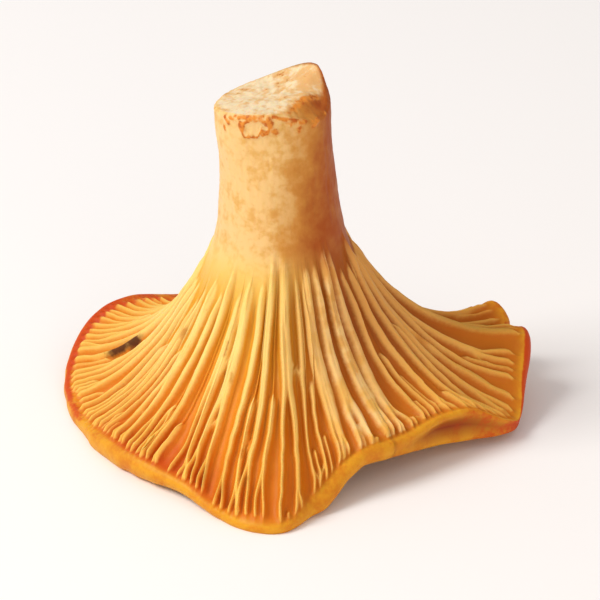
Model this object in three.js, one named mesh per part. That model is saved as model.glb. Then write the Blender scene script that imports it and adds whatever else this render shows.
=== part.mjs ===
// A chanterelle mushroom as picked, set down on the wavy rim of its cap with the cut stem up.
// Millimetres and degrees. +Z is up, 0 degrees is the right side, 90 the back and 270 the front.
// The origin is on the surface that it rests on, under the middle of its bounding box.

import * as THREE from "three";

// Driving dimensions. A pair of numbers is a range that each ridge takes its own value from,
// or a value at the start and one at the end.
const stem = {
  radius: 7.35,
  cutHeight: 48.2,
  cutTiltX: 0.17, // rise of the knife cut per mm to the right
  cutTiltY: -0.09, // rise of the knife cut per mm to the back
  lip: { rise: 2.5, at: 28, spread: [12, 60] }, // torn peak at the high side, steeper to the front
  chamfer: { drop: 2.6, at: -36, spread: [42, 40], from: 0.58 }, // the cut breaks down beside it
  swell: { by: 0.3, at: 187, spread: [50, 50], up: [0.55, 0.85] }, // on the left, below the cut
  oval: { share: 0.025, phase: 0.6 },
  ripple: { share: 0.015, phase: -1, twist: 2 },
  footX: 0.9, // where the stem's axis stands, to the right of the cap's middle
  lean: 1.45, // how far its top leans back to the left
  leanFrom: 24,
  leanSpan: 26,
};
const flare = {
  height: 30, // where the stem starts to spread into the cap
  radius: 8.25,
  drop: 12.3, // length of the steep upper part of the curve
  uneven: { share: 0.14, at: 195 }, // that part is longer on this side
  rimReach: 0.42, // length of the flat outer part, as a share of the spread
};
const gills = {
  ridges: 40, // at the stem; each has two limbs by the rim
  width: [0.44, 0.27], // half width of a ridge, broad near the stem and a blade towards the rim
  narrows: [0.35, 0.85],
  crowded: 0.26, // the most of the pitch that it takes, where the ridges crowd at the stem
  bluntness: [2.4, 1.7],
  height: 1.25,
  sunk: 0.3, // depth of the furrows below the face, as a share of the height
  start: [-0.02, 0.1], // where along the face a ridge rises out of the stem
  rise: 0.22, // how much of the face it takes to rise
  size: [0.8, 1.2],
  end: [0.955, 1.01], // where the ridges sink into the margin
  endScatter: 0.03,
  scatter: 0.28, // uneven spacing; this and the gaps below are shares of the pitch
  wander: 0.07,
  swings: [0.8, 1.8], // sideways swings on the way from stem to rim
  wanderFades: { in: [0.1, 0.4], out: [0.9, 1] },
  forking: 0.68, // share of the ridges that fork; the others have a short ridge beside them
  fork: [0.36, 0.8], // where along the face a ridge forks
  forkLength: 0.16,
  flatTop: [0.09, 0.14], // half of the flat top before a ridge forks
  forkGap: 0.25, // from its middle to a limb after it
  shortStart: [0.36, 0.82], // where along the face a short ridge starts
  shortRise: 0.06,
  shortSize: 0.85,
  shortGap: [0.47, 0.25],
  shortDrift: [0.15, 0.9],
  late: { by: 0.14, at: 200, spread: [36, 36] }, // the ridges start late on the left
  whole: { by: 0.3, at: 306, spread: [15, 15], wider: 0.4 }, // and stay broad at the front right
};
const skin = {
  flesh: 5.6, // added to the margin's thickness towards the stem
  fleshPower: 1.25,
  end: 0.34, // share of the gill face down to which the skin runs along with it
  apex: 18.5, // height of the cap's sunken middle above the surface
};
const margin = {
  roundness: 0.75, // how far the blunt edge bulges, in half thicknesses
  most: 1.7, // no further than for this half thickness
  wide: { by: 1.7, at: 285, spread: [7, 9] }, // and further at the front right
  groove: { depth: 1.7, at: 335, spread: [15, 15] }, // along the middle of the edge where it is thick
};
const restFlat = 0.3; // how far the soft rim is pressed flat where it touches

// The rim, from the right side on: direction in degrees, radius, height, slope of the gill face
// there (positive falls outwards) and thickness of the blunt margin.
const rim = [
  [3, 33.3, 6.3, 4, 2.6],
  [14, 34.5, 10.0, -12, 2.5],
  [21, 33.0, 7.2, -20, 1.9],
  [25, 34.4, 8.6, -26, 1.8],
  [29, 33.2, 10.1, -30, 1.7],
  [36, 30.2, 4.8, -14, 1.8],
  [46, 29.4, 2.8, 8, 1.9],
  [58, 31.0, 1.5, 18, 2.0],
  [73, 31.0, 1.8, 18, 2.0],
  [90, 30.5, 3.3, 10, 2.0],
  [105, 30.4, 4.7, 0, 2.0],
  [118, 31.2, 5.4, -12, 1.8],
  [130, 32.3, 6.5, -16, 1.7],
  [140, 32.8, 5.9, -10, 1.7],
  [152, 31.5, 4.1, 0, 1.8],
  [166, 29.6, 2.2, 8, 2.0],
  [178, 27.7, 1.9, 12, 2.4],
  [192, 26.1, 2.3, 16, 2.9],
  [210, 25.6, 3.2, 22, 3.6],
  [226, 25.7, 3.4, 28, 3.4],
  [243, 26.6, 2.8, 34, 2.0],
  [256, 29.9, 1.7, 36, 1.8],
  [266, 32.4, 1.5, 36, 1.8],
  [273, 32.2, 1.5, 36, 1.8],
  [281, 27.8, 2.9, 36, 2.2],
  [290, 24.9, 4.9, 32, 2.8],
  [300, 23.9, 6.4, 26, 3.0],
  [316, 24.0, 6.4, 16, 3.2],
  [331, 25.2, 7.0, 8, 4.6],
  [341, 28.2, 6.5, 6, 4.8],
  [348, 32.0, 3.6, 10, 2.2],
  [353, 33.1, 2.7, 14, 1.5],
].map(([at, radius, height, slope, thickness]) => ({ at, radius, height, slope, thickness }));

// How finely each stretch is divided.
const rows = { cut: 5, stem: 6, gills: 14, margin: 4, skin: 5, hollow: 4 };
const columns = [0, 0.3, 0.7]; // from one limb's crest towards the next limb's
const columnsPerRidge = 2 * columns.length;

const turn = 360;
const radians = THREE.MathUtils.degToRad;
const mix = THREE.MathUtils.lerp;
const wrap = THREE.MathUtils.euclideanModulo;

// 0 below a, 1 above b, and a smooth step between them.
function step(a, b, x) {
  return THREE.MathUtils.smoothstep(x, a, b);
}

// A fixed number from 0 to 1 for ridge i, another for each salt.
function chance(i, salt) {
  const s = Math.sin(i * 12.9898 + salt * 78.233) * 43758.5453;
  return s - Math.floor(s);
}

// Ridge i's own value from a range.
function draw(i, salt, range) {
  return mix(...range, chance(i, salt));
}

// How near a direction is to at: 1 there, falling off like a bell by one spread before it and
// another after it.
function nearness(degrees, { at, spread }) {
  const away = wrap(degrees - at + turn / 2, turn) - turn / 2;
  return Math.exp(-((away / spread[away < 0 ? 0 : 1]) ** 2));
}

// Evenly spaced numbers from a to b, both included.
function spaced(a, b, parts) {
  return Array.from({ length: parts + 1 }, (_, k) => mix(a, b, k / parts));
}

// A measure of the rim in any direction: a cubic through its stations that closes on itself.
function aroundRim(measure, degrees) {
  const station = (k) => rim[wrap(k, rim.length)];
  const at = (k) => station(k)[measure];
  const angle = (k) => station(k).at + turn * Math.floor(k / rim.length);
  const d = angle(0) + wrap(degrees - angle(0), turn);
  let i = 0;
  while (angle(i + 1) <= d) i++;
  const span = angle(i + 1) - angle(i);
  const slopeAt = (k) => ((at(k + 1) - at(k - 1)) / (angle(k + 1) - angle(k - 1))) * span;
  const f = (d - angle(i)) / span;
  const g = f - 1;
  return (
    (1 + 2 * f) * g * g * at(i) +
    f * g * g * slopeAt(i) +
    f * f * (3 - 2 * f) * at(i + 1) +
    f * f * g * slopeAt(i + 1)
  );
}

function stemCentre(height) {
  return stem.footX - stem.lean * Math.max(0, (height - stem.leanFrom) / stem.leanSpan);
}

// The stem narrows from the flare's radius to its own, a little out of round.
function stemRadius(degrees, height) {
  const up = (height - flare.height) / (stem.cutHeight - flare.height);
  const round = mix(stem.radius, flare.radius, Math.max(0, 1 - up) ** 3);
  const a = radians(degrees);
  const oval = stem.oval.share * Math.cos(2 * a + stem.oval.phase);
  const turned = stem.ripple.phase + stem.ripple.twist * Math.max(0, up);
  const ripple = stem.ripple.share * Math.cos(3 * a + turned);
  return round * (1 + oval + ripple);
}

// Height of the knife cut, from its middle at share 0 to the stem's side at 1: a slanting plane
// with a torn peak that stands up near the side and a broken edge that drops.
function cutHeight(degrees, share) {
  const a = radians(degrees);
  const slant = stem.cutTiltX * Math.cos(a) + stem.cutTiltY * Math.sin(a);
  const up = stem.lip.rise * nearness(degrees, stem.lip) * share ** 2;
  const broken = step(stem.chamfer.from, 1, share);
  const down = stem.chamfer.drop * nearness(degrees, stem.chamfer) * broken;
  return stem.cutHeight + stem.radius * slant * share + up - down;
}

// A point of the stem's side, share 0 at the flare and 1 at the cut.
function stemPoint(degrees, share) {
  const a = radians(degrees);
  const z = mix(flare.height, cutHeight(degrees, 1), share);
  const swell = stem.swell.by * nearness(degrees, stem.swell) * step(...stem.swell.up, share);
  const r = stemRadius(degrees, z) + swell;
  return new THREE.Vector3(stemCentre(z) + r * Math.cos(a), r * Math.sin(a), z);
}

// A point of the cut face, share 0 at its middle and 1 at the stem's side.
function cutPoint(degrees, share) {
  const side = stemPoint(degrees, 1);
  const x = mix(stemCentre(stem.cutHeight), side.x, share);
  return new THREE.Vector3(x, side.y * share, cutHeight(degrees, share));
}

// The gill face without its ridges: a Bezier curve in the radial plane, from the flare at t 0
// to the rim at t 1. Gives the radius, the height and the outward normal.
function gillProfile(degrees, t) {
  const rimRadius = aroundRim("radius", degrees);
  const rimHeight = aroundRim("height", degrees);
  const slope = radians(aroundRim("slope", degrees));
  const side = Math.cos(radians(degrees - flare.uneven.at));
  const drop = flare.drop * (1 + flare.uneven.share * side);
  const lean = (3 * (flare.radius - stem.radius)) / (stem.cutHeight - flare.height);
  const start = new THREE.Vector2(stemRadius(degrees, flare.height), flare.height);
  const reach = flare.rimReach * (rimRadius - start.x);
  const curve = new THREE.CubicBezierCurve(
    start,
    new THREE.Vector2(start.x + lean * drop, start.y - drop),
    new THREE.Vector2(rimRadius - reach * Math.cos(slope), rimHeight + reach * Math.sin(slope)),
    new THREE.Vector2(rimRadius, rimHeight),
  );
  const point = curve.getPoint(t);
  const along = curve.getTangent(t);
  return { r: point.x, z: point.y, normalR: -along.y, normalZ: along.x };
}

// A point lifted off the gill face by out along its normal and by on along the face.
function offFace(degrees, t, out, on = 0) {
  const f = gillProfile(degrees, t);
  const r = f.r + out * f.normalR + on * f.normalZ;
  const z = f.z + out * f.normalZ - on * f.normalR;
  const a = radians(degrees);
  const centre = stemCentre(flare.height) * (1 - t);
  return new THREE.Vector3(centre + r * Math.cos(a), r * Math.sin(a), z);
}

// The two limbs of ridge i at t: their angles and how far each has risen.
function limbs(i, t) {
  const pitch = turn / gills.ridges;
  const late = gills.late.by * nearness((i + 0.5) * pitch, gills.late);
  const whole = gills.whole.by * nearness((i + 0.5) * pitch, gills.whole);
  const swing = Math.sin(2 * Math.PI * (t * draw(i, 2, gills.swings) + chance(i, 3)));
  const fades = step(...gills.wanderFades.in, t) * (1 - step(...gills.wanderFades.out, t));
  const offset = gills.scatter * (chance(i, 1) - 0.5) + gills.wander * swing * fades;
  const middle = (i + 0.5 + offset) * pitch;
  const end = 1 - step(...gills.end, t + gills.endScatter * chance(i, 9));
  const rise = draw(i, 8, gills.size) * step(0, gills.rise, t - late - draw(i, 6, gills.start)) * end;
  if (chance(i, 5) < gills.forking) {
    const parted = step(0, gills.forkLength, t - whole - draw(i, 4, gills.fork));
    const gap = mix(draw(i, 10, gills.flatTop), gills.forkGap, parted) * pitch;
    return [
      { angle: middle - gap, rise },
      { angle: middle + gap, rise },
    ];
  }
  const drift = step(...gills.shortDrift, t);
  const shortRise = step(0, gills.shortRise, t - whole - draw(i, 7, gills.shortStart));
  return [
    { angle: middle - gills.forkGap * drift * pitch, rise },
    {
      angle: middle + mix(...gills.shortGap, drift) * pitch,
      rise: gills.shortSize * shortRise * end,
    },
  ];
}

// One ring of the gill face, with columns between the limbs' crests. A ridge's section is a blunt
// bell, and where ridges meet they join smoothly.
function gillRing(t) {
  const crests = Array.from({ length: gills.ridges }, (_, i) => limbs(i, t)).flat();
  const crest = (k) => {
    const { angle, rise } = crests[wrap(k, crests.length)];
    return { angle: angle + turn * Math.floor(k / crests.length), rise };
  };
  return crests.flatMap((_, k) =>
    columns.map((share) => {
      const degrees = mix(crest(k).angle, crest(k + 1).angle, share);
      const { r } = gillProfile(degrees, t);
      const broad = nearness(degrees, gills.whole);
      const narrow = step(...gills.narrows, t - gills.whole.by * broad);
      const wide = mix(...gills.width, narrow) + gills.whole.wider * broad * (1 - narrow);
      const width = Math.min(wide, (gills.crowded * 2 * Math.PI * r) / gills.ridges);
      const bluntness = mix(...gills.bluntness, narrow);
      const below = [-1, 0, 1, 2]
        .map((more) => crest(k + more))
        .map(({ angle, rise }) => ({ rise, away: radians(Math.abs(degrees - angle)) * r }))
        .map(({ rise, away }) => 1 - rise * Math.exp(-((away / width) ** bluntness)))
        .reduce((a, b) => a * b);
      const furrow = gills.sunk * Math.max(crest(k).rise, crest(k + 1).rise);
      return { degrees, point: offFace(degrees, t, gills.height * (1 - below - furrow)) };
    }),
  );
}

// The hollow under the cap closes over in a parabola, from edge at share 1 to the apex at 0.
function hollowPoint(edge, share) {
  return new THREE.Vector3(edge.x * share, edge.y * share, mix(skin.apex, edge.z, share ** 2));
}

// The closed surface of the mushroom as rings, from the middle of the cut to the cap's middle.
function mushroomRings() {
  const faceRings = spaced(0, 1, rows.gills).map(gillRing);
  const coarse = (ring) => ring.filter((_, k) => k % columnsPerRidge === 0).map((c) => c.degrees);
  const stemColumns = coarse(faceRings[0]);
  const rimColumns = faceRings.at(-1).map((column) => column.degrees);
  const skinColumns = coarse(faceRings.at(-1));

  const cutRings = spaced(0, 1, rows.cut)
    .slice(1, -1)
    .map((q) => stemColumns.map((d) => cutPoint(d, q)));
  const stemRings = spaced(1, 0, rows.stem).map((s) => stemColumns.map((d) => stemPoint(d, s)));
  const marginRings = spaced(0, Math.PI, rows.margin)
    .slice(1)
    .map((a) =>
      rimColumns.map((d) => {
        const half = aroundRim("thickness", d) / 2;
        const bulge = margin.roundness * Math.min(half, margin.most) + margin.wide.by * nearness(d, margin.wide);
        const groove = margin.groove.depth * nearness(d, margin.groove) * Math.sin(a) ** 4;
        return offFace(d, 1, half * (Math.cos(a) - 1), bulge * Math.sin(a) - groove);
      }),
    );
  const skinRings = spaced(1, skin.end, rows.skin)
    .slice(1)
    .map((t) =>
      skinColumns.map((d) => {
        const flesh = skin.flesh * (1 - t) ** skin.fleshPower;
        return offFace(d, t, -aroundRim("thickness", d) - flesh);
      }),
    );
  const hollowRings = spaced(1, 0, rows.hollow)
    .slice(1, -1)
    .map((q) => skinRings.at(-1).map((p) => hollowPoint(p, q)));
  return [
    [cutPoint(0, 0)],
    ...cutRings,
    ...stemRings,
    ...faceRings.slice(1).map((ring) => ring.map((column) => column.point)),
    ...marginRings,
    ...skinRings,
    ...hollowRings,
    [new THREE.Vector3(0, 0, skin.apex)],
  ];
}

// Sets the rings down: what lies lowest is pressed flat, and the origin goes under the middle.
function setDown(rings) {
  for (const p of rings.flat()) p.z = Math.max(0, p.z - restFlat);
  const box = new THREE.Box3().setFromPoints(rings.flat());
  const middle = box.getCenter(new THREE.Vector3()).setZ(0);
  for (const p of rings.flat()) p.sub(middle);
  return rings;
}

// Joins each ring to the next with triangles. Where one ring has fewer points they fan out.
function jacket(rings) {
  const positions = [];
  const faces = [];
  const firsts = rings.map((ring) => {
    const first = positions.length / 3;
    ring.forEach((p) => positions.push(p.x, p.y, p.z));
    return first;
  });
  for (let k = 0; k + 1 < rings.length; k++) {
    const count = Math.max(rings[k].length, rings[k + 1].length);
    const corner = (ring, j) =>
      firsts[ring] + (Math.round((j * rings[ring].length) / count) % rings[ring].length);
    for (let j = 0; j < count; j++) {
      const [u0, u1] = [corner(k, j), corner(k, j + 1)];
      const [l0, l1] = [corner(k + 1, j), corner(k + 1, j + 1)];
      if (l0 !== l1) faces.push(l0, l1, u0);
      if (u0 !== u1) faces.push(u0, l1, u1);
    }
  }
  const geometry = new THREE.BufferGeometry();
  geometry.setAttribute("position", new THREE.Float32BufferAttribute(positions, 3));
  geometry.setIndex(faces);
  geometry.computeVertexNormals();
  return geometry;
}

function chanterelle() {
  const flesh = new THREE.MeshStandardMaterial({ color: 0xe59a2e, roughness: 0.55, metalness: 0 });
  const mesh = new THREE.Mesh(jacket(setDown(mushroomRings())), flesh);
  mesh.name = "chanterelle";
  return mesh;
}

const part = new THREE.Group();
part.add(chanterelle());

export default part;
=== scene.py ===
import bpy
import numpy as np
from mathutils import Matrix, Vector


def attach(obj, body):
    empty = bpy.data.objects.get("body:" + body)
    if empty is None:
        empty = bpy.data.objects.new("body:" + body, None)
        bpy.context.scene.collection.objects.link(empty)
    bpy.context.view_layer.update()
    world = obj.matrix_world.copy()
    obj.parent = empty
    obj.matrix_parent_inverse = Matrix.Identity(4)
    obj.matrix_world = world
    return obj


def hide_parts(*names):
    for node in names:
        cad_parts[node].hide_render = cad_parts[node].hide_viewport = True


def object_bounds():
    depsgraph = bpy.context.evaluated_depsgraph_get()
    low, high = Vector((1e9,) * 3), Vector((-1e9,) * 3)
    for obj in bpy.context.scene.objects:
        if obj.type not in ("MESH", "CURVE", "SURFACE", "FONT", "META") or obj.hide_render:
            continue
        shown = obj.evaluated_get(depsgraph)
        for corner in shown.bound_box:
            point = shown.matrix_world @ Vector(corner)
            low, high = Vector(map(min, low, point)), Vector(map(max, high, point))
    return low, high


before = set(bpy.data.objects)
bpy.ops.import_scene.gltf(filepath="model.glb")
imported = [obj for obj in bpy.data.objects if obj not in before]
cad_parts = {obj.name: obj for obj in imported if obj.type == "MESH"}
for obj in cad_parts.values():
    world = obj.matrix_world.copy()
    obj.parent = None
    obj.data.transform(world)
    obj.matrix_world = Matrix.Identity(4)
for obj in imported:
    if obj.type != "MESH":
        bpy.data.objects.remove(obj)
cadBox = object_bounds()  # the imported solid's corners, in metres

# A chanterelle as picked, set down on the wavy rim of its cap with the cut stem up.
# The shape is worked out in millimetres and degrees: 0 is the right side, 90 the back, 270 the front.
mm = 0.001
turn = 360
sineHash = {"i": 12.9898, "salt": 78.233, "row": 157.31, "size": 43758.5453}
endless = 1000000


def mix(a, b, share):  # a at share 0, b at share 1
    return a + (b - a) * share


def ease(a, b, x):  # 0 up to a, 1 from b on, and in between three squares less two cubes of the way there
    q = np.clip((x - a) / (b - a), 0, 1)
    return q * q * (3 - 2 * q)


def chance(i, salt):  # a fixed number from 0 to 1 for each i: the fraction of a large sine
    s = np.sin(i * sineHash["i"] + salt * sineHash["salt"]) * sineHash["size"]
    return s - np.floor(s)


def draw(i, salt, span):  # each i's own value from a range
    return mix(span[0], span[1], chance(i, salt))


def grain(x, y, salt, period=endless):  # values from -1 to 1 at whole x and y, eased between them
    i, j = np.floor(x), np.floor(y)
    f, g = ease(0, 1, x - i), ease(0, 1, y - j)
    at = lambda a, b: chance((i + a) % period + sineHash["row"] * (j + b), salt)
    return 2 * mix(mix(at(0, 0), at(1, 0), f), mix(at(0, 1), at(1, 1), f), g) - 1


def layer(form, degrees, along, salt):  # unevenness: a height times grains that close around the mushroom
    height, wide, tall = form  # of a grain: degrees around, and a length in the unit of along
    return height * grain(degrees / wide, along / tall, salt, round(turn / wide))


def between(degrees, at):  # the turn from one direction to another, from -180 to 180
    return (degrees - at + turn / 2) % turn - turn / 2


def nearness(degrees, form):  # 1 at one direction, falling off like a bell by a spread before and after it
    away = between(degrees, form["at"])
    return np.exp(-((away / np.where(away < 0, *form["spread"])) ** 2))


def around(degrees, radius, height):  # polar places to x, y, z
    a = np.radians(degrees)
    return np.stack(np.broadcast_arrays(radius * np.cos(a), radius * np.sin(a), height), axis=-1)


# The rim, from the right side on: direction, radius, height, slope of the gill face there
# (positive falls outwards) and thickness of the blunt margin.
rim = np.array([
    (3, 33.3, 6.3, 4, 2.6), (14, 34.5, 10.0, -12, 2.5), (21, 33.0, 7.2, -20, 1.9),
    (25, 34.4, 8.6, -26, 1.8), (29, 33.2, 10.1, -30, 1.7), (36, 30.2, 4.8, -14, 1.8),
    (46, 29.4, 2.8, 8, 1.9), (58, 31.0, 1.5, 18, 2.0), (73, 31.0, 1.8, 18, 2.0),
    (90, 30.5, 3.3, 10, 2.0), (105, 30.4, 4.7, 0, 2.0), (118, 31.2, 5.4, -12, 1.8),
    (130, 32.3, 6.5, -16, 1.7), (140, 32.8, 5.9, -10, 1.7), (152, 31.5, 4.1, 0, 1.8),
    (166, 29.6, 2.2, 8, 2.0), (178, 27.7, 1.9, 12, 2.4), (192, 26.1, 2.3, 16, 2.9),
    (210, 25.6, 3.2, 22, 3.6), (226, 25.7, 3.4, 28, 3.4), (243, 26.6, 2.8, 34, 2.0),
    (256, 29.9, 1.7, 36, 1.8), (266, 32.4, 1.5, 36, 1.8), (273, 32.2, 1.5, 36, 1.8),
    (281, 27.8, 2.9, 36, 2.2), (290, 24.9, 4.9, 32, 2.8), (300, 23.9, 6.4, 26, 3.0),
    (316, 24.0, 6.4, 16, 3.2), (331, 25.2, 7.0, 8, 4.6), (341, 28.2, 6.5, 6, 4.8),
    (348, 32.0, 3.6, 10, 2.2), (353, 33.1, 2.7, 14, 1.5),
])
rimMeasures = {"radius": 1, "height": 2, "slope": 3, "thickness": 4}


def aroundRim(measure, degrees):  # a cubic through the rim's stations that closes on itself
    angle = np.concatenate([rim[-1:, 0] - turn, rim[:, 0], rim[:2, 0] + turn])
    value = rim[:, rimMeasures[measure]]
    value = np.concatenate([value[-1:], value, value[:2]])
    slope = np.zeros(len(value))
    slope[1:-1] = (value[2:] - value[:-2]) / (angle[2:] - angle[:-2])
    d = rim[0, 0] + (degrees - rim[0, 0]) % turn
    i = np.clip(np.searchsorted(angle, d, side="right") - 1, 1, len(rim))
    span = angle[i + 1] - angle[i]
    f = (d - angle[i]) / span
    g = f - 1
    ends = (1 + 2 * f) * g * g * value[i] + f * f * (3 - 2 * f) * value[i + 1]
    return ends + span * (f * g * g * slope[i] + f * f * g * slope[i + 1])


stem = {
    "radius": 7.35,
    "cutHeight": 48.2,
    "cutTilt": (0.17, -0.09),  # rise of the knife cut per mm to the right and to the back
    "lip": {"rise": 2.5, "at": 28, "spread": (12, 60)},  # torn peak at the high side, steeper to the front
    "chamfer": {"drop": 2.6, "at": -36, "spread": (42, 40), "from": 0.58},  # the cut breaks down beside it
    "oval": {"share": 0.025, "phase": 0.6},
    "ripple": {"share": 0.015, "phase": -1, "twist": 2},
    "swell": {"by": 0.3, "at": 187, "spread": (50, 50), "up": (0.55, 0.85)},  # on the left, below the cut
    "footX": 0.9,
    "lean": {"by": 1.45, "from": 24, "span": 26},
    # Unevenness: its height in mm, and the size of its grains in degrees around and in mm up.
    "lumps": (0.16, 36, 6),
    "fibres": (0.03, 4, 4.5),
    "scurf": (0.035, 2.5, 0.5),
    "starts": (0, 0.2),  # share of the way up on which the unevenness sets in
    "calmer": {"by": 0.5, "from": 0.96},  # weaker along the cut
    "rounded": {"by": 0.3, "from": 0.97},  # the edge of the cut
    "crumbs": 0.22,  # height of the torn skin
    "evened": (0, 0.3),  # share of the way up on which the columns become evenly spaced
    "crowding": 1.4,  # power by which the rows crowd together towards the cut
}
flare = {"height": 30, "radius": 8.25, "drop": 12.3, "uneven": {"share": 0.14, "at": 195}, "rimReach": 0.42}


def stemCentre(height):  # a straight foot that leans back to the left higher up
    lean = stem["lean"]
    return stem["footX"] - lean["by"] * np.maximum(0, (height - lean["from"]) / lean["span"])


def stemRadius(degrees, height):  # narrows by a cube from the flare, times an oval and a three-sided ripple
    up = (height - flare["height"]) / (stem["cutHeight"] - flare["height"])
    smooth = mix(stem["radius"], flare["radius"], np.maximum(0, 1 - up) ** 3)
    a = np.radians(degrees)
    oval = stem["oval"]["share"] * np.cos(2 * a + stem["oval"]["phase"])
    turned = stem["ripple"]["phase"] + stem["ripple"]["twist"] * np.maximum(0, up)
    return smooth * (1 + oval + stem["ripple"]["share"] * np.cos(3 * a + turned))


def cutHeight(degrees, share):  # a slanting plane, a peak that grows with the share squared, a fallen edge
    a = np.radians(degrees)
    slant = stem["cutTilt"][0] * np.cos(a) + stem["cutTilt"][1] * np.sin(a)
    up = stem["lip"]["rise"] * nearness(degrees, stem["lip"]) * share**2
    fallen = ease(stem["chamfer"]["from"], 1, share)
    down = stem["chamfer"]["drop"] * nearness(degrees, stem["chamfer"]) * fallen
    return stem["cutHeight"] + stem["radius"] * slant * share + up - down


# Scraps of torn skin under the cut: direction, depth below it, half length, half width and tilt.
scraps = [
    (218, 0.9, 0.8, 0.32, 45), (226, 0.6, 0.9, 0.3, 20), (238, 0.3, 1.0, 0.34, -10),
    (249, 0.35, 1.2, 0.42, 5), (261, 0.8, 1.1, 0.38, 40), (268, 1.2, 1.2, 0.5, 74),
    (272, 2.1, 0.8, 0.44, 40), (262, 2.6, 0.6, 0.36, -30), (281, 0.4, 0.9, 0.3, 0),
    (292, 0.6, 1.0, 0.42, -40), (299, 1.4, 0.6, 0.34, -70), (304, 0.3, 0.9, 0.34, -20),
    (214, 2.0, 0.5, 0.22, 60), (319, 0.5, 1.0, 0.38, -30),
]
curl = {"at": 250, "below": 1.8, "wide": 1.8, "tall": 1.2, "line": 0.3, "bent": (0.3, 6, 0.9)}
worn = {"least": 0.7, "grains": (1, 3.6, 0.6), "fades": (-0.6, 0.3)}
crumbs = {"share": 0.7, "below": 0.2, "tall": 0.25, "grains": (1, 4, 2), "fades": (0, 0.6)}


def tornSkin(degrees, below):  # bars, a curl and a line of crumbs, each fading like a bell; worn in places
    torn = 0.0
    away = lambda at: np.radians(between(degrees, at)) * stem["radius"]
    for at, depth, length, width, tilt in scraps:
        u, v, a = away(at), below - depth, np.radians(tilt)
        along, across = u * np.cos(a) + v * np.sin(a), v * np.cos(a) - u * np.sin(a)
        torn = np.maximum(torn, np.exp(-((along / length) ** 4) - (across / width) ** 2))
    ring = np.hypot(away(curl["at"]) / curl["wide"], (below - curl["below"]) / curl["tall"]) - 1
    ring = ring + layer(curl["bent"], degrees, below, 34)
    torn = np.maximum(torn, np.exp(-((ring * curl["wide"] / curl["line"]) ** 2)))
    left = mix(worn["least"], 1, ease(*worn["fades"], layer(worn["grains"], degrees, below, 31)))
    line = np.exp(-(((below - crumbs["below"]) / crumbs["tall"]) ** 2))
    line = line * ease(*crumbs["fades"], layer(crumbs["grains"], degrees, below, 33))
    return np.maximum(torn * left, crumbs["share"] * line)


def stemSide(degrees, share):  # points and torn skin; the share is 0 at the flare and 1 at the cut
    top = cutHeight(degrees, 1)
    z = mix(flare["height"], top, share)
    rough = 0.0
    for name, salt in (("lumps", 11), ("fibres", 12), ("scurf", 13)):
        rough = rough + layer(stem[name], degrees, z, salt)
    calmer = 1 - stem["calmer"]["by"] * ease(stem["calmer"]["from"], 1, share)
    rough = rough * ease(*stem["starts"], share) * calmer
    torn = tornSkin(degrees, top - z)
    swell = stem["swell"]["by"] * nearness(degrees, stem["swell"]) * ease(*stem["swell"]["up"], share)
    rounded = stem["rounded"]["by"] * ease(stem["rounded"]["from"], 1, share)
    points = around(degrees, stemRadius(degrees, z) + swell + rough - rounded + stem["crumbs"] * torn, z)
    points[..., 0] += stemCentre(z)
    return points, torn


crumble = {
    "coarse": (0.14, 1.4),  # height and size of the grains, in mm
    "fine": (0.12, 0.55),
    "calmer": {"by": 0.6, "from": 0.9},  # weaker near the edge
    "rounded": {"by": 0.12, "from": 0.95},
    "edgeFrom": 0.85,  # share of the radius from which the stem's own unevenness shows
}


def cutFace(degrees, share):  # flat between its middle and the stem's side, with a fine crumble
    side = stemSide(degrees, np.ones_like(share))[0]
    even = around(degrees, stemRadius(degrees, cutHeight(degrees, 1)), 0)
    even[..., 0] += stemCentre(stem["cutHeight"])
    rough = (side - even)[..., :2] * ease(crumble["edgeFrom"], 1, share)[..., None]
    x = mix(stemCentre(stem["cutHeight"]), even[..., 0], share) + rough[..., 0]
    y = even[..., 1] * share + rough[..., 1]
    z = 0.0
    for name, salt in (("coarse", 21), ("fine", 22)):
        height, size = crumble[name]
        z = z + height * grain(x / size, y / size, salt)
    calmer = 1 - crumble["calmer"]["by"] * ease(crumble["calmer"]["from"], 1, share)
    z = cutHeight(degrees, share) + z * calmer
    z = z - crumble["rounded"]["by"] * ease(crumble["rounded"]["from"], 1, share)
    return np.stack([x, y, z], axis=-1)


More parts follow.
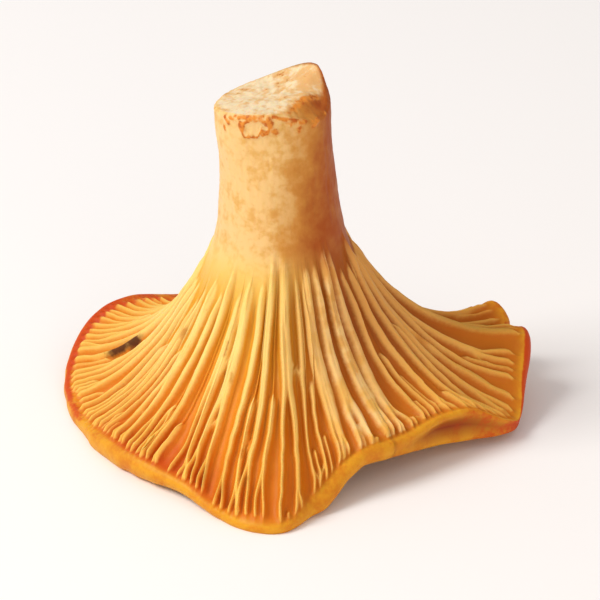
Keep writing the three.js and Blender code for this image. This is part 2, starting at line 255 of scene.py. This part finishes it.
# Widths and heights are in mm, and places are shares of the way from the stem to the rim.
gills = {
    "ridges": 40,  # at the stem; each has two limbs by the middle of the face
    "width": (0.44, 0.27),  # half width of a ridge, broad near the stem and a blade towards the rim
    "narrows": (0.35, 0.85),
    "crowded": 0.26,  # the most of the pitch that it takes near the stem
    "height": 1.25,
    "sunk": 0.3,
    "bluntness": (2.4, 1.7),
    "start": (-0.02, 0.1),
    "rise": 0.22,
    "size": (0.8, 1.2),
    "highest": 1.3,
    "end": (0.955, 1.01),
    "endScatter": 0.03,
    "scatter": 0.28,
    "wander": 0.07,
    "swings": (0.8, 1.8),
    "wanderIn": (0.1, 0.4),
    "wanderOut": (0.9, 1),
    "forking": 0.68,
    "fork": (0.36, 0.8),
    "forkLength": 0.16,
    "flatTop": (0.09, 0.14),  # half of the flat top before a ridge forks, in pitches
    "forkGap": 0.25,  # from its middle to a limb after it
    "shortStart": (0.36, 0.82),
    "shortRise": 0.06,
    "shortSize": 0.85,
    "shortGap": (0.47, 0.25),
    "shortDrift": (0.15, 0.9),
    "late": {"by": 0.14, "at": 200, "spread": (36, 36)},  # the ridges start late on the left
    "whole": {"by": 0.3, "at": 306, "spread": (15, 15), "wider": 0.4},  # at the front right they fork late
    "twigs": {"forking": 0.5, "fork": (0.6, 0.9), "length": 0.16, "gap": (0.02, 0.125), "after": 1.6,
              "short": 0.6, "start": (0.62, 0.95), "rise": 0.035, "size": (0.6, 0.95)},
    "swell": {"by": 0.16, "often": 9, "apart": 3.7},  # uneven height along a ridge
    "wiggle": {"by": 0.024, "often": 22, "apart": 5.3, "in": (0.1, 0.3)},  # fine wandering, in pitches
    "veins": {"share": 0.3, "from": (0.35, 0.93), "run": (0.04, 0.12), "width": 0.02, "height": 0.7},
    "fuzz": (0.03, 1.5, 1 / 70),
    "fuzzIn": (0, 0.2),
    "low": 0.35,  # a ridge lower than this share of its height isn't coloured as one
    "gathered": 0.5,  # how much closer together the columns are on the crests
    "columns": 6,  # for each crest
}


def bezier(t, a, b, c, d):  # a cubic curve's value and its slope
    u = 1 - t
    value = u**3 * a + 3 * u * u * t * b + 3 * u * t * t * c + t**3 * d
    return value, 3 * (u * u * (b - a) + 2 * u * t * (c - b) + t * t * (d - c))


def gillProfile(degrees, t):  # the gill face in its radial plane: radius, height and outward normal
    rimRadius, rimHeight = aroundRim("radius", degrees), aroundRim("height", degrees)
    slope = np.radians(aroundRim("slope", degrees))
    side = np.cos(np.radians(degrees - flare["uneven"]["at"]))
    drop = flare["drop"] * (1 + flare["uneven"]["share"] * side)
    lean = 3 * (flare["radius"] - stem["radius"]) / (stem["cutHeight"] - flare["height"])
    start = stemRadius(degrees, flare["height"])
    reach = flare["rimReach"] * (rimRadius - start)
    r, alongR = bezier(t, start, start + lean * drop, rimRadius - reach * np.cos(slope), rimRadius)
    high = flare["height"]
    z, alongZ = bezier(t, high, high - drop, rimHeight + reach * np.sin(slope), rimHeight)
    size = np.hypot(alongR, alongZ)
    return r, z, -alongZ / size, alongR / size


def offFace(degrees, t, out, on=0):  # a point off the face by out along its normal and by on along the face
    r, z, normalR, normalZ = gillProfile(degrees, t)
    points = around(degrees, r + out * normalR + on * normalZ, z + out * normalZ - on * normalR)
    points[..., 0] += stemCentre(flare["height"]) * (1 - t)
    return points


def limbs(t):  # angle and height of the two limbs of each ridge, in every row
    i = np.arange(gills["ridges"])
    pitch = turn / gills["ridges"]
    late, whole = (gills[way]["by"] * nearness((i + 0.5) * pitch, gills[way]) for way in ("late", "whole"))
    swing = np.sin(2 * np.pi * (t * draw(i, 2, gills["swings"]) + chance(i, 3)))
    fades = ease(*gills["wanderIn"], t) * (1 - ease(*gills["wanderOut"], t))
    middle = (i + 0.5 + gills["scatter"] * (chance(i, 1) - 0.5) + gills["wander"] * swing * fades) * pitch
    end = 1 - ease(*gills["end"], t + gills["endScatter"] * chance(i, 9))
    rise = draw(i, 8, gills["size"]) * ease(0, gills["rise"], t - late - draw(i, 6, gills["start"])) * end
    parted = ease(0, gills["forkLength"], t - whole - draw(i, 4, gills["fork"]))
    gap = mix(draw(i, 10, gills["flatTop"]), gills["forkGap"], parted)
    drift = ease(*gills["shortDrift"], t)
    short = gills["shortSize"] * ease(0, gills["shortRise"], t - whole - draw(i, 7, gills["shortStart"]))
    forks = chance(i, 5) < gills["forking"]
    before = np.where(forks, gap, gills["forkGap"] * drift) * pitch
    after = np.where(forks, gap, mix(*gills["shortGap"], drift)) * pitch
    angles = np.stack([middle - before, middle + after], axis=-1)
    rises = np.stack([rise, np.where(forks, rise, short * end)], axis=-1)
    return angles.reshape(len(t), -1), rises.reshape(len(t), -1)


def crests(t):  # each limb forks again near the rim, or has a short ridge beside it
    angle, rise = limbs(t)
    k = np.arange(angle.shape[1])
    twigs, wiggle, swell = gills["twigs"], gills["wiggle"], gills["swell"]
    pitch = turn / gills["ridges"]
    sideways = grain(k * wiggle["apart"], t * wiggle["often"], 43)
    angle = angle + pitch * wiggle["by"] * sideways * ease(*wiggle["in"], t)
    rise = rise * (1 + swell["by"] * grain(k * swell["apart"], t * swell["often"], 41))
    gap = mix(*twigs["gap"], ease(0, twigs["length"], t - draw(k, 44, twigs["fork"])))
    short = ease(0, twigs["rise"], t - draw(k, 45, twigs["start"])) * draw(k, 46, twigs["size"])
    short = short * (chance(k, 47) < twigs["short"])
    forks = chance(k, 48) < twigs["forking"]
    before = np.where(forks, gap, twigs["gap"][0]) * pitch
    after = np.where(forks, gap, twigs["gap"][1] * twigs["after"]) * pitch
    angles = np.stack([angle - before, angle + after], axis=-1)
    rises = np.stack([rise, np.where(forks, rise, rise * short)], axis=-1)
    return angles.reshape(len(t), -1), rises.reshape(len(t), -1)


def gillFace(rowCount):  # columns run along the crests; a ridge's section is a blunt bell
    t = np.linspace(0, 1, rowCount + 1)[:, None]
    angle, rise = crests(t)
    k = np.arange(angle.shape[1])
    near = lambda values, more, lap=0: np.roll(values, -more, axis=1) + lap * ((k + more) // len(k))
    share = np.arange(gills["columns"]) / gills["columns"]
    share = share - gills["gathered"] * np.sin(2 * np.pi * share) / (2 * np.pi)
    degrees = mix(angle[..., None], near(angle, 1, turn)[..., None], share)
    tt = t[..., None]
    r = gillProfile(degrees, tt)[0]
    broad = nearness(degrees, gills["whole"])
    narrow = ease(*gills["narrows"], tt - gills["whole"]["by"] * broad)
    width = mix(*gills["width"], narrow) + gills["whole"]["wider"] * broad * (1 - narrow)
    width = np.minimum(width, gills["crowded"] * 2 * np.pi * r / gills["ridges"])
    flatness = mix(*gills["bluntness"], narrow)
    below = 1.0
    for more in (-1, 0, 1, 2):
        away = np.radians(np.abs(degrees - near(angle, more, turn)[..., None])) * r
        high = near(rise, more)[..., None].clip(0, gills["highest"])
        below = below * (1 - high * np.exp(-((away / width) ** flatness)))
    veins = gills["veins"]
    both = np.minimum(rise, near(rise, 1))[..., None].clip(0, 1)
    for salt in (51, 55):
        there = (chance(k, salt) < veins["share"])[:, None]
        run = draw(k, salt + 1, veins["run"]) * np.where(chance(k, salt + 2) < 0.5, -1, 1)
        line = draw(k, salt + 3, veins["from"])[:, None] + run[:, None] * (share - 0.5)
        across = np.exp(-(((tt - line) / veins["width"]) ** 2))
        below = below * (1 - veins["height"] * there * both * across)
    crest = 1 - below
    risen = np.maximum(rise, near(rise, 1))[..., None]
    lift = gills["height"] * (crest - gills["sunk"] * risen)
    crest = crest / np.maximum(risen, gills["low"])
    flat = lambda a: np.broadcast_to(a, degrees.shape).reshape(len(t), -1)
    degrees, lift, crest = flat(degrees), flat(lift), flat(crest)
    lift = lift + layer(gills["fuzz"], degrees, t, 42) * ease(*gills["fuzzIn"], t)
    return degrees, offFace(degrees, t, lift), crest, t, lift[-1]


# The right side is browned, partly in its own colour and partly as painted shade turned from the key light.
# It starts and is full at these directions, at the stem's foot and at its cut, and fades over the last two.
brownAndShadedSide = {"from": (-118, -92), "full": (-40, -8), "fades": (30, 95)}


def bruise(degrees, up):  # 1 where it is full; up is 0 at the stem's foot and 1 at its cut
    d = between(degrees, 0)
    risen = ease(mix(*brownAndShadedSide["from"], up), mix(*brownAndShadedSide["full"], up), d)
    return risen * (1 - ease(*brownAndShadedSide["fades"], d))


# Small marks on the gill face: direction, share of the way to the rim, half length along it, half width.
blemishes = {
    "soil": [(159.6, 0.73, 2.0, 0.28), (159.4, 0.655, 1.2, 0.5)],
    "scar": [
        (201.6, 0.39, 0.9, 0.6), (240.5, 0.38, 1.0, 0.3), (243, 0.43, 0.6, 0.4), (248, 0.48, 1.0, 0.3),
        (259.6, 0.73, 0.6, 0.35), (262.2, 0.83, 0.6, 0.4), (356, 0.54, 1.3, 0.7), (351.5, 0.94, 0.5, 0.4),
    ],
    "faceLength": 27,  # from stem to rim, in mm
    "faceRadii": (9, 30),
}


def blemished(name, degrees, t):  # the strongest of them at each place, each fading like a bell
    away = lambda at: np.radians(between(degrees, at)) * mix(*blemishes["faceRadii"], t)
    worth = [np.exp(-(((t - at) * blemishes["faceLength"] / length) ** 2) - (away(side) / width) ** 2)
             for side, at, length, width in blemishes[name]]
    return np.max(worth, axis=0)


# The zones of the skin. Each gives its rows of points and its marks, which set its colour.
rows = {"cut": 14, "stem": 50, "gills": 50, "margin": 8, "skin": 14, "hollow": 8}
brokenPart = {"reach": 0.38, "edge": (-0.05, 0.07), "strong": (0.3, 0.8), "torn": 0.04, "wide": 0.06}
paleCut = {"rim": {"by": 0.6, "from": 0.92}, "darkerRight": {"by": 0.8, "across": (-0.1, 0.9)}}


def pole(x, height):  # one point, where the skin closes
    return np.array([[[x, 0.0, height]]])


def cutZone(columns):  # pale, with a part broken off at the right that is browned and partly painted shade
    share = np.linspace(0, 1, rows["cut"] + 1)[1:-1, None]
    strong = nearness(columns, stem["chamfer"])
    past = share - 1 + brokenPart["reach"] * strong
    off = ease(*brokenPart["edge"], past)
    line = np.exp(-(((past - brokenPart["torn"]) / brokenPart["wide"]) ** 2))
    across = ease(*paleCut["darkerRight"]["across"], share * np.cos(np.radians(columns)))
    return cutFace(*np.broadcast_arrays(columns, share)), {
        "cut": (1 - paleCut["rim"]["by"] * ease(paleCut["rim"]["from"], 1, share)) * (1 - off),
        "stalk": 1,
        "torn": ease(*brokenPart["strong"], strong) * line,
        "bruise": np.maximum(bruise(columns, 1) * off, paleCut["darkerRight"]["by"] * across),
    }


def stemZone(foot, top):  # columns as on the gill face at its foot and evenly spaced at its top
    up = 1 - np.linspace(0, 1, rows["stem"] + 1)[:, None] ** stem["crowding"]
    columns = mix(foot, top, ease(*stem["evened"], up))
    points, torn = stemSide(*np.broadcast_arrays(columns, up))
    return points, {"stalk": 1, "torn": torn, "bruise": bruise(columns, up)}


gillMarks = {
    "stalk": (0, 0.16),  # the stem's colour ends in this range
    "lip": (0.97, 1),  # and the rim's begins, less on the crests
    "lipOff": 0.6,
    "deep": {"at": 228, "spread": (36, 38)},  # the ends of the furrows are deep orange here, partly painted shade where they meet the lip
    # less of the right side's browning and painted shade towards the rim
    "bruiseAndShadeOff": {"by": 0.55, "in": (0.3, 0.9)},
    "redLine": {"in": (-0.03, 0), "wider": 0.05},  # by the distance from the rim
    "redFold": (0.8, 0.92),
}
margin = {
    "roundness": 0.75,  # how far the blunt edge bulges, in half thicknesses
    "most": 1.7,  # no further than for this half thickness
    "wide": {"by": 1.7, "at": 285, "spread": (7, 9)},  # and further at the front right
    "groove": {"depth": 1.7, "at": 335, "spread": (15, 15)},  # along the middle of the thick edge
    "shade": {"at": 1.5, "wide": 0.6},  # in the groove, in radians around the edge
    "wave": (0.12, 4, 1),
    "ridgesFade": (0, 0.9),  # radians too, as the ranges of red below
    "redLine": {"at": 158, "spread": (60, 36)},  # a red line inside the edge, partly painted shade in the crease, is strongest here
    "redLineEnds": (1.2, 0.5),
    "redWide": {"at": 128, "spread": (30, 22)},  # and broader here, where it is partly painted shade
    "redFold": {"at": 34, "spread": (5, 9)},  # the inside of the small lobe is red
    "redFace": {"at": 362, "spread": (20, 26)},  # and the edge's whole face is red here, partly painted shade on this face turned from the light
    "redFaceIn": {"by": 1.1, "in": (0, 0.5)},
}


def gillZone(degrees, points, crest, t):
    distance = t - 1 + gillMarks["redLine"]["wider"] * nearness(degrees, margin["redWide"])
    line = nearness(degrees, margin["redLine"]) * ease(*gillMarks["redLine"]["in"], distance)
    fold = nearness(degrees, margin["redFold"]) * ease(*gillMarks["redFold"], t)
    less = 1 - gillMarks["bruiseAndShadeOff"]["by"] * ease(*gillMarks["bruiseAndShadeOff"]["in"], t)
    return points, {
        "crest": crest,
        "reach": t,
        "stalk": 1 - ease(*gillMarks["stalk"], t),
        "lip": ease(*gillMarks["lip"], t) * (1 - gillMarks["lipOff"] * crest.clip(0, 1)),
        "inside": np.maximum(line, fold),
        "deep": nearness(degrees, gillMarks["deep"]),
        "bruise": bruise(degrees, 0) * less,
        "pale": nearness(degrees, gills["whole"]),
        "soil": blemished("soil", degrees, t),
        "scar": blemished("scar", degrees, t),
    }


def edgeZone(columns, ridges):  # half a turn around the blunt margin, from the gills to the smooth skin
    a = np.linspace(0, np.pi, rows["margin"] + 1)[1:, None]
    half = aroundRim("thickness", columns) / 2
    groove = nearness(columns, margin["groove"])
    bulge = margin["roundness"] * np.minimum(half, margin["most"])
    bulge = bulge + margin["wide"]["by"] * nearness(columns, margin["wide"])
    on = bulge * np.sin(a) - margin["groove"]["depth"] * groove * np.sin(a) ** 4
    on = on + layer(margin["wave"], columns, 0, 61) * np.sin(a)
    out = half * (np.cos(a) - 1) + ridges * (1 - ease(*margin["ridgesFade"], a))
    line = nearness(columns, margin["redLine"]) * ease(*margin["redLineEnds"], a)
    reddens = margin["redFaceIn"]["by"] * ease(*margin["redFaceIn"]["in"], a)
    red = reddens * nearness(columns, margin["redFace"])
    return offFace(columns, 1, out, on), {
        "reach": 1,
        "lip": 1,
        "inside": np.maximum(line, red),
        "shade": groove * np.exp(-(((a - margin["shade"]["at"]) / margin["shade"]["wide"]) ** 2)),
    }


skin = {
    "flesh": 5.6,  # how much thicker the cap's flesh would be at the stem than at the rim
    "power": 1.25,
    "end": 0.34,  # from this share of the way to the rim inwards the skin is a bowl up to the apex
    "apex": 18.5,
    "wrinkles": (0.1, 3, 1 / 5),
    "wrinklesIn": (0.45, 0.7),
    "dimples": (0.12, 20, 1 / 7),
    "edge": (0.9, 1),  # the unevenness and the cap's colour end in this range
    "lip": (0.93, 1),  # and the rim's colour begins
}


def capZones(columns):  # the smooth skin, then the sunken middle of the cap
    u = mix(1, skin["end"], np.linspace(0, 1, rows["skin"] + 1)[1:, None])
    inner = 1 - ease(*skin["edge"], u)
    flesh = aroundRim("thickness", columns) + skin["flesh"] * (1 - u) ** skin["power"]
    wrinkles = layer(skin["wrinkles"], columns, u, 71) * ease(*skin["wrinklesIn"], u) * inner
    points = offFace(columns, u, wrinkles + layer(skin["dimples"], columns, u, 72) * inner - flesh)
    q = np.linspace(1, 0, rows["hollow"] + 1)[1:-1, None, None]
    hollow = points[-1] * q
    hollow[..., 2] = mix(skin["apex"], points[-1][:, 2], q[..., 0] ** 2)
    return [
        (points, {"reach": u, "lip": ease(*skin["lip"], u), "under": inner}),
        (hollow, {"reach": skin["end"] * q[..., 0], "under": 1}),
    ]


def mushroomPatches():  # the zones from the middle of the cut to the middle of the cap
    degrees, face, crest, t, ridgesAtRim = gillFace(rows["gills"])
    foot, edge = degrees[0, ::2], degrees[-1]
    even = np.arange(len(foot)) * turn / len(foot)
    even = even + (foot - even).mean()
    return [
        (pole(stemCentre(stem["cutHeight"]), stem["cutHeight"]), {"cut": 1}),
        cutZone(even),
        stemZone(foot, even),
        gillZone(degrees[1:], face[1:], crest[1:], t[1:]),
        edgeZone(edge, ridgesAtRim),
        *capZones(edge[::2]),
        (pole(0, skin["apex"]), {"under": 1}),
    ]


def sew(patches):  # joins each ring to the next; a ring of half as many points takes two of the other's
    rings = [ring for points, _ in patches for ring in points]
    first = np.cumsum([0] + [len(ring) for ring in rings])
    faces = []
    for k in range(len(rings) - 1):
        n, m = len(rings[k]), len(rings[k + 1])
        fewer = min(n, m)
        j = np.arange(fewer if fewer > 1 else max(n, m))
        upper = lambda step, more: first[k] + (j * step + more) % n
        lower = lambda step, more: first[k + 1] + (j * step + more) % m
        if n == 1:
            corners = [lower(1, 0), lower(1, 1), upper(0, 0)]
        elif m == 1:
            corners = [lower(0, 0), upper(1, 1), upper(1, 0)]
        else:
            s, u = m // fewer, n // fewer
            corners = [lower(s, e) for e in range(s + 1)] + [upper(u, e) for e in range(u, -1, -1)]
        faces += np.stack(corners, axis=-1).tolist()
    return np.concatenate(rings), faces


restFlat = 0.3  # how far the rim is pressed flat where it rests, in mm


def setDown(points):  # pressed flat where it rests, centred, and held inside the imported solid's box
    points = points.copy()
    points[:, 2] = np.maximum(0, points[:, 2] - restFlat)
    low, high = points.min(axis=0), points.max(axis=0)
    points[:, :2] -= (low + high)[:2] / 2
    room = np.array(cadBox[1] - cadBox[0]) / mm
    print("size against the box, mm", high - low, room)
    return points * np.minimum(1, room / (high - low))


def makeMesh(name, patches):  # one closed mesh with the zones' marks as attributes
    points, faces = sew(patches)
    mesh = bpy.data.meshes.new(name)
    mesh.from_pydata(setDown(points) * mm, [], faces)
    mesh.shade_smooth()
    for mark in sorted({mark for _, marks in patches for mark in marks}):
        values = [np.broadcast_to(marks.get(mark, 0.0), zone.shape[:2]).ravel() for zone, marks in patches]
        values = np.concatenate(values).astype(np.float32)
        mesh.attributes.new(mark, "FLOAT", "POINT").data.foreach_set("value", values)
    piece = bpy.data.objects.new(name, mesh)
    bpy.context.scene.collection.objects.link(piece)
    return piece


class Wire:  # a node's socket that can stand in a Python expression
    def __init__(self, tree, socket=None):
        self.tree, self.socket = tree, socket

    def node(self, kind, settings={}, inputs={}, output=0):  # settings first, then values or links
        made = self.tree.nodes.new("ShaderNode" + kind)
        for name, value in settings.items():
            setattr(made, name, value)
        for name, value in inputs.items():
            if isinstance(value, Wire):
                self.tree.links.new(value.socket, made.inputs[name])
            else:
                made.inputs[name].default_value = value
        return Wire(self.tree, made.outputs[output] if made.outputs else None)

    def maths(self, operation, *values):
        return self.node("Math", {"operation": operation}, dict(enumerate(values)))

    def __add__(self, other):
        return self.maths("ADD", self, other)

    def __sub__(self, other):
        return self.maths("SUBTRACT", self, other)

    def __rsub__(self, other):
        return self.maths("SUBTRACT", other, self)

    def __mul__(self, other):
        return self.maths("MULTIPLY", self, other)

    __radd__ = __add__
    __rmul__ = __mul__

    def ease(self, low, high):  # 0 at low, 1 at high, smooth between
        values = {"Value": self, "From Min": low, "From Max": high}
        return self.node("MapRange", {"interpolation_type": "SMOOTHSTEP"}, values)

    def blend(self, other, share):  # this, with a share of the other
        return self * (1 - share) + other * share

    def fray(self, noise, by):  # this, moved by the noise, up or down by half of by at most
        return self + (noise - 0.5) * by

    def tint(self, a, b):  # colour a where this is 0 and b where it is 1
        full = lambda c: c if isinstance(c, Wire) else (*c, 1)
        return self.node("Mix", {"data_type": "RGBA"}, {0: self, 6: full(a), 7: full(b)}, 2)

    def mark(self, name):  # one of the mesh's attributes
        return self.node("Attribute", {"attribute_name": name}, {}, "Fac")

    def noise(self, place, size, detail):  # 0 to 1, with grains of about size mm
        return self.node("TexNoise", {}, {"Vector": place, "Scale": 1 / (size * mm), "Detail": detail})


def colour(code):  # a screen colour made linear light: a straight foot, then a power of 2.4
    s = np.array([int(code[i:i + 2], 16) for i in (0, 2, 4)]) / 255
    return tuple(np.where(s < 0.04045, s / 12.92, ((s + 0.055) / 1.055) ** 2.4))


colours = {
    "cut": colour("e8d5ae"), "cutOchre": colour("dcae72"), "cutStained": colour("b8702c"),
    # The tan and brown of the stem's right side are partly its own browning and partly painted shade.
    "stalk": colour("e6c080"), "stalkOchre": colour("d9a656"), "stalkTan": colour("c88a3a"),
    "stalkBrown": colour("a34c12"),
    "foot": colour("e8c870"),
    # On the right of the gill face the browned crest and furrow colours are partly painted shade.
    "crest": colour("efcf7a"), "crestLow": colour("edbb56"), "crestBruised": colour("c8721e"),
    "crestPale": colour("eec884"),
    # The furrows' deeper orange is partly the flesh's own and partly painted shade down between the ridges.
    "furrow": colour("de9e2c"), "furrowLow": colour("de861a"), "furrowDeep": colour("c44c0a"),
    "furrowBruised": colour("903a08"),
    # The red inside the margin is partly the flesh's own red and partly painted shade in the crease.
    "lip": colour("dd9c22"), "lipDeep": colour("cc7416"), "lipInside": colour("c8480e"),
    "lipShade": colour("8c340c"),
    "cap": colour("dd942a"), "capDeep": colour("d17a20"), "capMiddle": colour("bf5f18"),
    "torn": colour("d88a34"), "tornDark": colour("b86020"),
    "scar": colour("c07c28"), "soil": colour("4c1c04"),
}
# From and to which value of its mark or noise a colour takes over from the one under it.
takesOver = {
    "furrowLow": (0.25, 0.7), "furrowDeep": (0.66, 1),
    "crestLow": (0.3, 0.95), "crestPale": (0.35, 0.6), "crest": (0.3, 0.9),
    "foot": (0.3, 0.02),
    "stalkOchre": (0.44, 0.64), "stalkTan": (0, 0.6), "stalkBrown": (0.35, 1.15),
    "lipDeep": (0.35, 0.75), "lipInside": (0.2, 0.9),
    "capDeep": (0.38, 0.68), "capMiddle": (0.45, 0.1),
    "cutOchre": (0.42, 0.64), "cutStained": (0.6, 0.7),
    "tornDark": (0.45, 0.65), "torn": (0.2, 0.75),
    "scar": (0.2, 1), "soil": (0.1, 0.8),
}
# How much of it covers at most, where that isn't all.
covers = {"furrowBruised": 0.85, "crestBruised": 0.6, "stalkOchre": 0.8, "scar": 0.7, "soil": 0.95}
grains = {"broad": (9, 2), "patchy": (2.6, 3), "grainy": (0.9, 3), "fine": (0.5, 3), "tiny": (0.2, 2)}
# How much noise moves the border of a zone.
frays = {
    "reach": 0.25, "furrowDeep": 0.3, "crestLow": 0.2, "crest": 0.25, "stalk": 0.9,
    "lipInside": (0.6, 0.9), "torn": 0.8, "soil": 0.4,
}
# The share of the finer noise where two are blended.
finer = {"mottle": 0.5, "stalk": 0.3, "lip": 0.3, "cap": 0.4, "stain": 0.4, "bump": 0.4}
surface = {
    "roughness": 0.5,
    "uneven": 0.3,
    "cutRougher": 0.25,
    "cutBruiseAndShade": 0.15,
    "bump": (0.35, 0.12),  # strength and height in mm
    "scatter": 0.2,
    "scatterColour": (1, 0.42, 0.12),
    "scatterDepth": 0.9,  # mm
    "refraction": 1.4,
    "gloss": 0.25,
}


def fleshMaterial():  # each zone's colours, laid over one another by the mesh's marks
    material = bpy.data.materials.new("chanterelleFlesh")
    material.use_nodes = True
    tree = material.node_tree
    tree.nodes.clear()
    w = Wire(tree)
    place = w.node("TexCoord", {}, {}, "Object")
    broad, patchy, grainy, fine, tiny = (w.noise(place, *form) for form in grains.values())
    reach, darkerRight, cutMark = w.mark("reach"), w.mark("bruise"), w.mark("cut")

    def over(under, name, amount, within=None):  # lays the named colour over another
        if name in takesOver:
            amount = amount.ease(*takesOver[name])
        if name in covers:
            amount = amount * covers[name]
        if within is not None:
            amount = within * amount
        return amount.tint(under, colours[name])

    out = reach.fray(patchy, frays["reach"])
    furrow = over(colours["furrow"], "furrowLow", out)
    furrow = over(furrow, "furrowDeep", out.fray(broad, frays["furrowDeep"]), w.mark("deep"))
    # the right side's browning, partly painted shade, on furrows and crests
    furrow = over(furrow, "furrowBruised", darkerRight)
    crest = over(colours["crest"], "crestLow", out.fray(fine, frays["crestLow"]))
    crest = over(crest, "crestBruised", darkerRight)
    crest = over(crest, "crestPale", patchy, w.mark("pale"))
    # furrows darker than crests: partly painted shade between the ridges
    face = w.mark("crest").fray(fine, frays["crest"]).ease(*takesOver["crest"]).tint(furrow, crest)
    face = over(face, "foot", reach, 1 - darkerRight)

    mottle = patchy.blend(grainy, finer["mottle"])
    # the stem's right side: its own browning and painted shade, by one mark
    brownedAndShaded = darkerRight.fray(patchy.blend(grainy, finer["stalk"]), frays["stalk"])
    stalk = over(colours["stalk"], "stalkOchre", mottle)
    stalk = over(over(stalk, "stalkTan", brownedAndShaded), "stalkBrown", brownedAndShaded)
    face = w.mark("stalk").tint(face, stalk)

    face = w.mark("lip").tint(face, over(colours["lip"], "lipDeep", patchy.blend(fine, finer["lip"])))
    face = over(face, "lipShade", w.mark("shade"))
    byFine, byPatchy = frays["lipInside"]
    # the red inside the margin, partly painted shade
    face = over(face, "lipInside", w.mark("inside").fray(fine, byFine).fray(patchy, byPatchy))
    cap = over(colours["cap"], "capDeep", broad.blend(patchy, finer["cap"]))
    face = w.mark("under").tint(face, over(cap, "capMiddle", reach))

    cut = over(colours["cut"], "cutOchre", mottle + darkerRight * surface["cutBruiseAndShade"])
    cut = over(cut, "cutStained", grainy.blend(patchy, finer["stain"]))
    face = cutMark.tint(face, cut)
    torn = over(colours["torn"], "tornDark", grainy)
    ragged = lambda name, by: w.mark(name).fray(fine, by).fray(grainy, by)
    face = ragged("torn", frays["torn"]).ease(*takesOver["torn"]).tint(face, torn)
    face = over(face, "scar", ragged("scar", frays["torn"]))
    face = over(face, "soil", ragged("soil", frays["soil"]))

    strength, height = surface["bump"]
    bump = w.node("Bump", {}, {
        "Strength": strength, "Distance": height * mm, "Height": fine.blend(tiny, finer["bump"]),
    })
    rough = (cutMark * surface["cutRougher"]).fray(patchy, surface["uneven"]) + surface["roughness"]
    shader = w.node("BsdfPrincipled", {}, {
        "Base Color": face, "Roughness": rough, "Normal": bump,
        "Subsurface Weight": surface["scatter"], "Subsurface Radius": surface["scatterColour"],
        "Subsurface Scale": surface["scatterDepth"] * mm,
        "IOR": surface["refraction"], "Specular IOR Level": surface["gloss"],
    })
    w.node("OutputMaterial", {}, {"Surface": shader})
    return material


print("growing the mushroom")
piece = makeMesh("chanterelle_flesh", mushroomPatches())
print("its finish")
piece.data.materials.append(fleshMaterial())
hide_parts("chanterelle")
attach(piece, "root")

studio = {
    "floorSize": 6,
    "floor": (0.95, 0.95, 0.95),
    "floorRoughness": 0.7,
    "lights": {
        # from where, in metres from the mushroom; side of the square panel; power in watts; colour
        "key": ((-0.6, -0.16, 0.66), 0.42, 6.0, (1, 0.98, 0.95)),
        "fill": ((0.35, -0.9, 0.15), 0.6, 3.2, (1, 0.76, 0.54)),
    },
    "lightsAim": (0, 0, 0.02),
    "sky": {"colour": (1, 0.94, 0.92), "strength": 0.54},
}


def makeFloor():
    s = studio["floorSize"] / 2
    mesh = bpy.data.meshes.new("floor")
    mesh.from_pydata([(-s, -s, 0), (s, -s, 0), (s, s, 0), (-s, s, 0)], [], [(0, 1, 2, 3)])
    material = bpy.data.materials.new("paleFloor")
    material.use_nodes = True
    shader = material.node_tree.nodes["Principled BSDF"]
    shader.inputs["Base Color"].default_value = (*studio["floor"], 1)
    shader.inputs["Roughness"].default_value = studio["floorRoughness"]
    mesh.materials.append(material)
    floor = bpy.data.objects.new("floor", mesh)
    bpy.context.scene.collection.objects.link(floor)


def makeLights():
    aim = Vector(studio["lightsAim"])
    for name, (place, size, power, tint) in studio["lights"].items():
        light = bpy.data.lights.new(name, "AREA")
        light.size, light.energy, light.color = size, power, tint
        lamp = bpy.data.objects.new(name, light)
        lamp.location = place
        lamp.rotation_euler = (aim - Vector(place)).to_track_quat("-Z", "Y").to_euler()
        bpy.context.scene.collection.objects.link(lamp)
    world = bpy.data.worlds.new("sky")
    world.use_nodes = True
    sky = world.node_tree.nodes["Background"]
    sky.inputs["Color"].default_value = (*studio["sky"]["colour"], 1)
    sky.inputs["Strength"].default_value = studio["sky"]["strength"]
    bpy.context.scene.world = world


camera = {
    "distance": 0.605,  # metres
    "down": 26.2,  # degrees
    "turned": 0.42,
    "aimHeight": 0.0183,
    "aimRight": 0.0005,
    "lens": 270,  # mm
    "clip": (0.01, 20),
}


def makeCamera():  # looks at a low point over the box's middle from the front, from above by the angle down
    aim = (cadBox[0] + cadBox[1]) / 2
    aim.x, aim.z = camera["aimRight"], camera["aimHeight"]
    down, turned = np.radians(camera["down"]), np.radians(camera["turned"])
    back = Vector((np.sin(turned) * np.cos(down), -np.cos(turned) * np.cos(down), np.sin(down)))
    data = bpy.data.cameras.new("camera")
    data.lens = camera["lens"]
    data.clip_start, data.clip_end = camera["clip"]
    eye = bpy.data.objects.new("camera", data)
    eye.location = aim + back * camera["distance"]
    eye.rotation_euler = (-back).to_track_quat("-Z", "Y").to_euler()
    bpy.context.scene.collection.objects.link(eye)
    bpy.context.scene.camera = eye


print("floor, lights and camera")
makeFloor()
makeLights()
makeCamera()
bpy.context.scene.view_settings.view_transform = "Standard"
